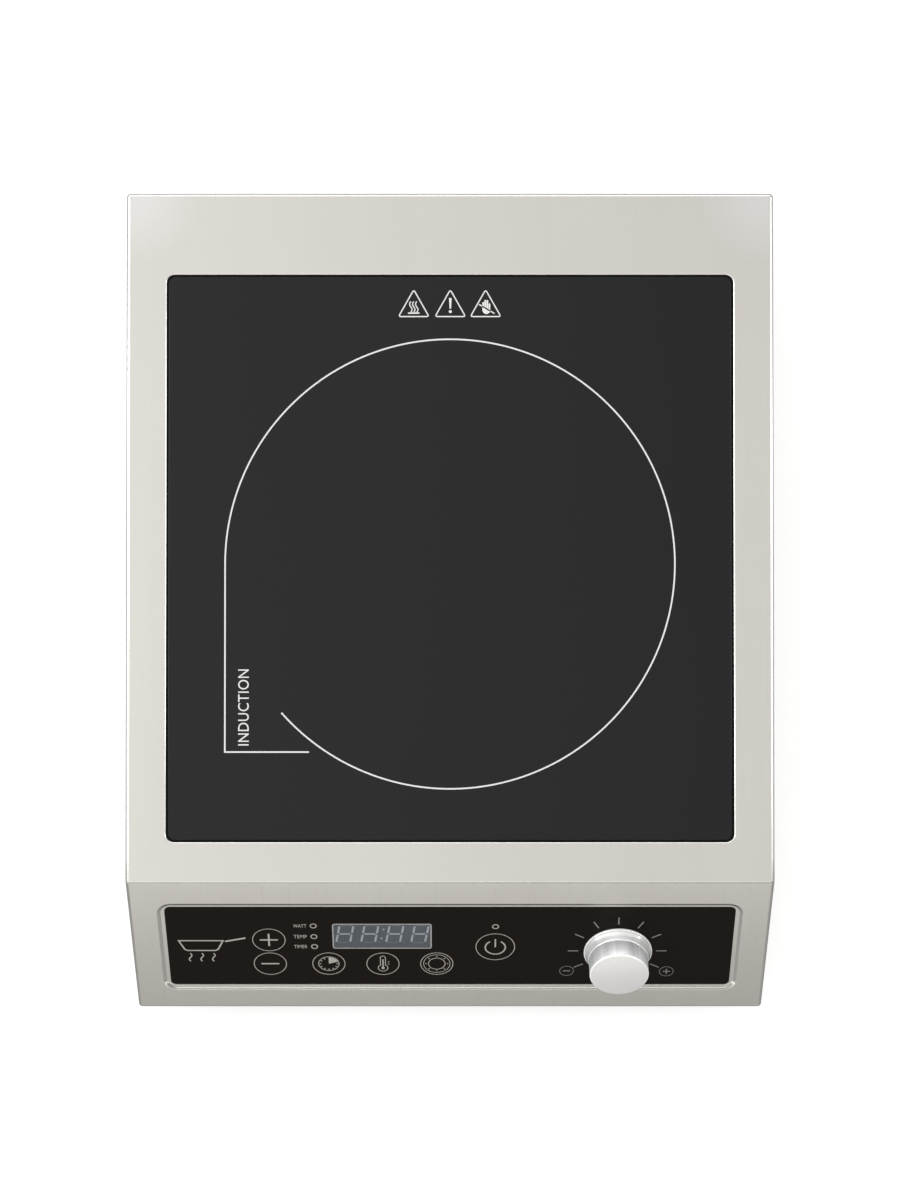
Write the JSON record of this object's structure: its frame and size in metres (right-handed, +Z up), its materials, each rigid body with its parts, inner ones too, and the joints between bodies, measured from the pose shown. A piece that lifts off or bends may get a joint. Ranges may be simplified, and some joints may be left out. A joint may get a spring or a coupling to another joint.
{
  "type": "countertop induction cooker",
  "caption": "Countertop induction cooker: folded steel casing, flush square ceramic glass, sloped control front with touch keys, display and one turning knob.",
  "frame": {"origin": "on the table, under the middle of the object's box", "axes": "+X right, +Y to the back, +Z up; the control front faces -Y"},
  "size_m": [0.327, 0.426, 0.1],
  "materials": {
    "satin_steel": "fine satin grain",
    "base_steel": "galvanised sheet",
    "black_glass": "gloss",
    "seal_silicone": "matte",
    "foot_rubber": "matte",
    "zinc_steel": "bright zinc",
    "overlay_film": "fine matte film",
    "black_nylon": "moulded",
    "stud_brass": "turned",
    "knob_satin": "satin spun",
    "knob_chrome": "polished",
    "core_plastic": "moulded",
    "shaft_steel": "turned",
    "white_plastic": "moulded",
    "board_green": "solder mask",
    "chip_black": "moulded epoxy",
    "display_grey": "filled epoxy face",
    "lamp_epoxy": "clear tint",
    "sink_aluminium": "extruded",
    "litz_copper": "enamelled wire",
    "ferrite_grey": "matte",
    "film_block": "potted",
    "can_sleeve": "shrink sleeve",
    "mica_sheet": "pressed mica",
    "spring_steel": "drawn wire"
  },
  "bodies": {
    "casing": {"upper_casing": "satin_steel", "rear_panel": "satin_steel", "base_plate": "base_steel", "glass_plate": "black_glass", "glass_seal": "seal_silicone", "foot_front_left": "foot_rubber", "foot_front_right": "foot_rubber", "foot_rear_left": "foot_rubber", "foot_rear_right": "foot_rubber", "foot_screws": "zinc_steel", "casing_screws": "zinc_steel", "control_overlay": "overlay_film", "cable_bush": "black_nylon", "cable_bush_nut": "black_nylon", "earth_stud": "stud_brass", "control_pot": "core_plastic", "pot_bushing": "shaft_steel", "pot_nut": "zinc_steel", "touch_carrier": "white_plastic", "display_module": "display_grey", "indicator_lamps": "lamp_epoxy", "touch_springs": "spring_steel", "control_board": "board_green", "buzzer": "chip_black", "control_bracket": "white_plastic", "control_studs": "zinc_steel", "ribbon_cable": "white_plastic", "power_board": "board_green", "board_spacers": "stud_brass", "board_screws": "zinc_steel", "heat_sink": "sink_aluminium", "power_transistors": "chip_black", "bridge_rectifier": "chip_black", "heat_sink_screws": "zinc_steel", "choke_core": "ferrite_grey", "choke_winding": "litz_copper", "film_capacitors": "film_block", "filter_capacitors": "can_sleeve", "transformer": "mica_sheet", "fuse": "white_plastic", "terminal_block": "white_plastic", "coil_carrier": "white_plastic", "litz_coil": "litz_copper", "ferrite_bars": "ferrite_grey", "insulation_sheet": "mica_sheet", "coil_sensor": "seal_silicone", "coil_springs": "spring_steel", "coil_support": "sink_aluminium", "coil_leads": "litz_copper", "fan_frame_front": "black_nylon", "fan_frame_rear": "black_nylon", "fan_stators": "litz_copper", "fan_screws": "zinc_steel"},
    "knob": {"knob_body": "knob_satin", "knob_skirt": "knob_chrome", "knob_cap": "knob_satin", "knob_core": "core_plastic", "control_shaft": "shaft_steel"},
    "front_fan": {"fan_rotor_front": "black_nylon"},
    "rear_fan": {"fan_rotor_rear": "black_nylon"}
  },
  "joints": [
    {"name": "knob_turn", "type": "hinge", "parent": "casing", "child": "knob", "pos_m": [0.0865, -0.18138, 0.06491], "axis": [0, -0.6748, 0.738], "range_deg": [-120, 120]},
    {"name": "front_fan_spin", "type": "hinge", "parent": "casing", "child": "front_fan", "pos_m": [-0.1005, -0.048, 0.02], "axis": [0, 0, 1], "continuous": true},
    {"name": "rear_fan_spin", "type": "hinge", "parent": "casing", "child": "rear_fan", "pos_m": [-0.1005, 0.072, 0.02], "axis": [0, 0, 1], "continuous": true}
  ]
}
